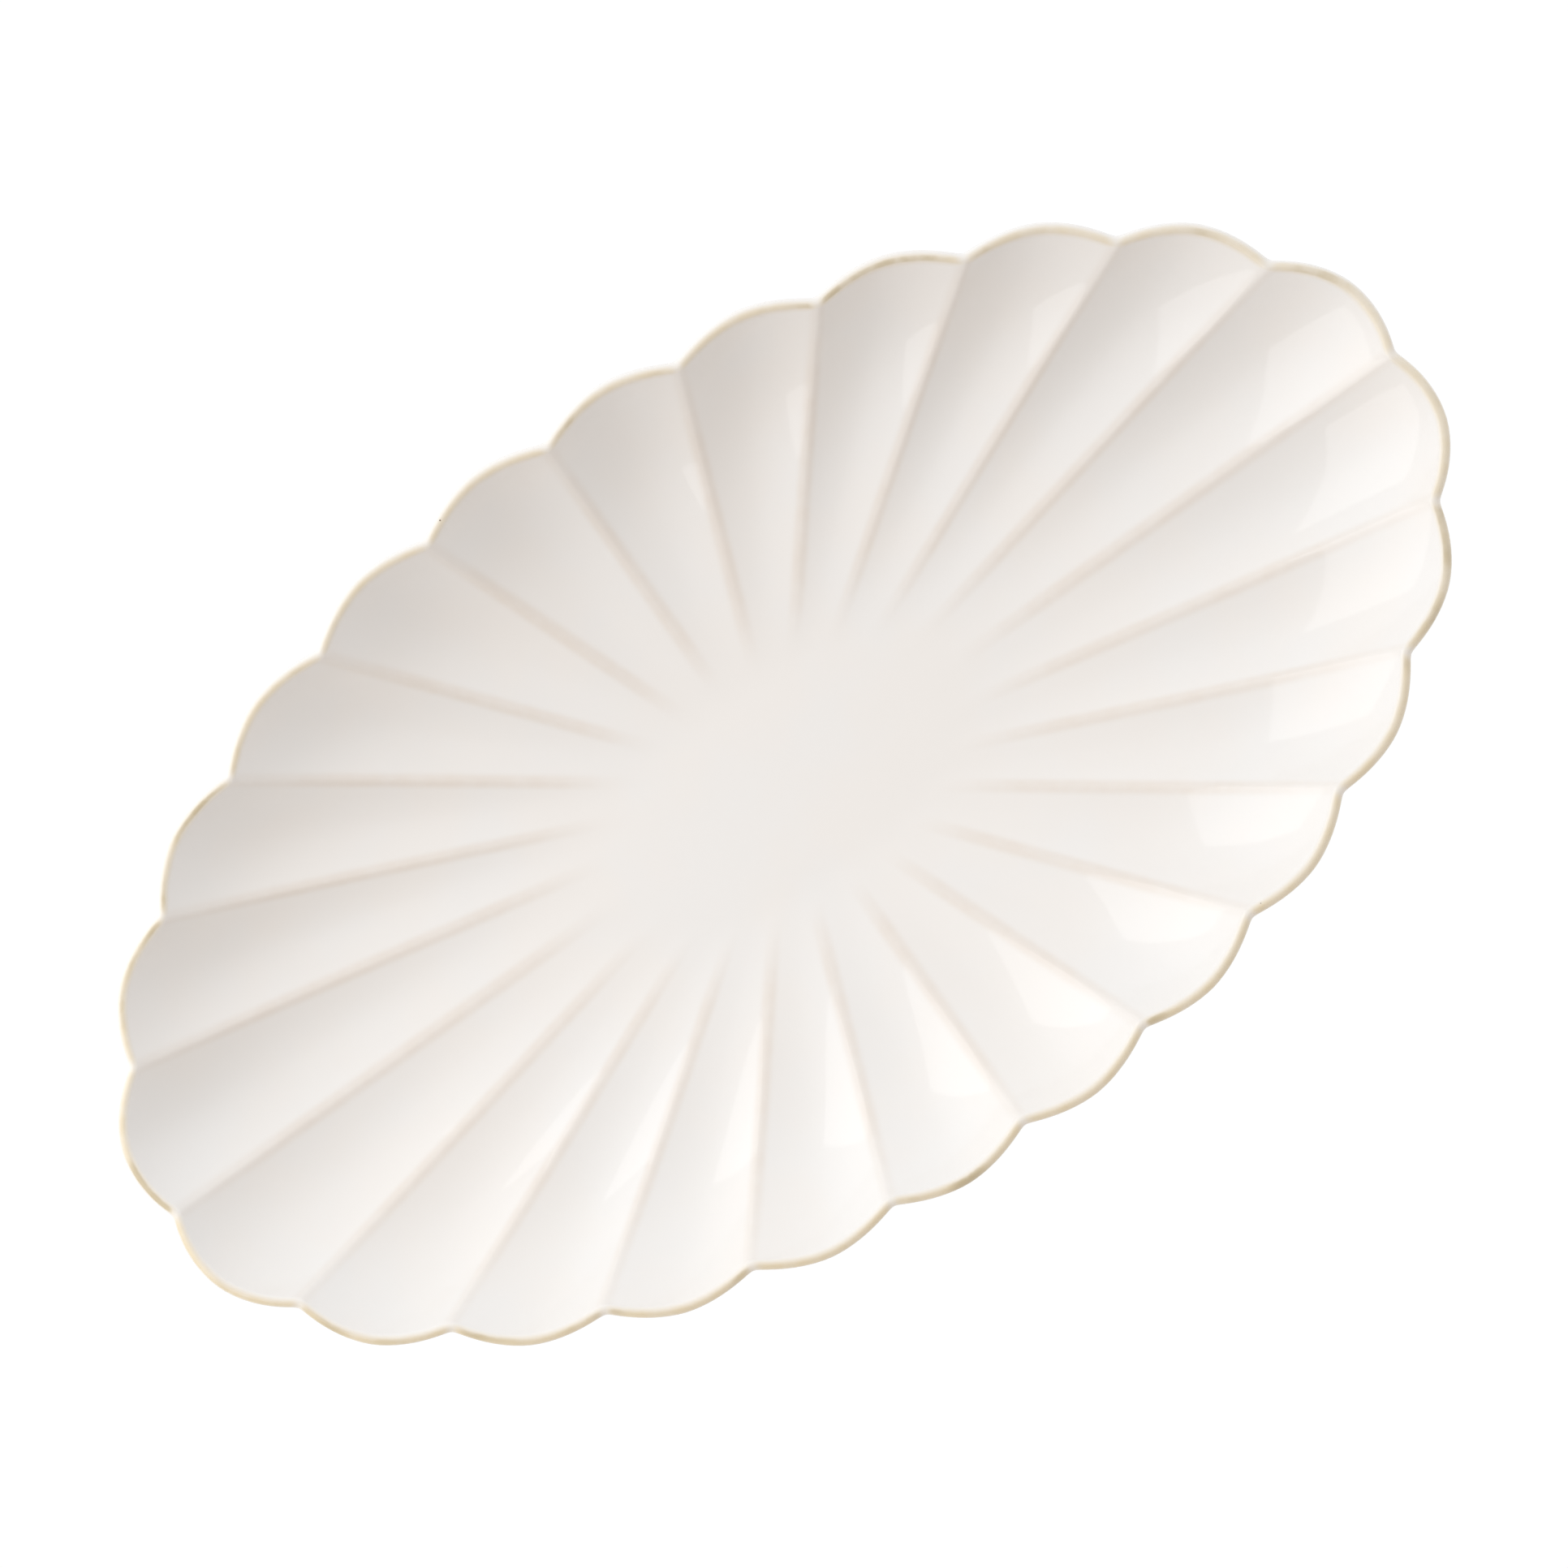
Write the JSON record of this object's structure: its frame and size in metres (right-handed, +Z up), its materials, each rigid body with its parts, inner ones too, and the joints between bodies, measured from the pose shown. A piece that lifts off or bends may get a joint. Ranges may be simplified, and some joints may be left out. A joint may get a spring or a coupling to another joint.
{
  "type": "serving platter",
  "caption": "Oval scalloped serving platter in ivory-glazed stoneware: a shallow fluted dish with a rounded lip where the glaze breaks beige, on an oval foot ring.",
  "frame": {"origin": "on the surface that the foot ring rests on, under the middle of the platter", "axes": "+Z up out of the dish, X along the long axis of the oval, Y along its short axis"},
  "size_m": [0.4, 0.2286, 0.036],
  "materials": {
    "clay": "bare fired stoneware, fine grain, matt",
    "ivory_glaze": "glossy ivory glaze, slightly milky",
    "lip_glaze": "glossy glaze, thin over the edge, breaking warm beige"
  },
  "bodies": {
    "root": {"clay_body": "clay", "foot_ring": "clay", "inside_glaze": "ivory_glaze", "lip_glaze": "lip_glaze", "outside_glaze": "ivory_glaze", "foot_well_glaze": "ivory_glaze"}
  },
  "joints": []
}
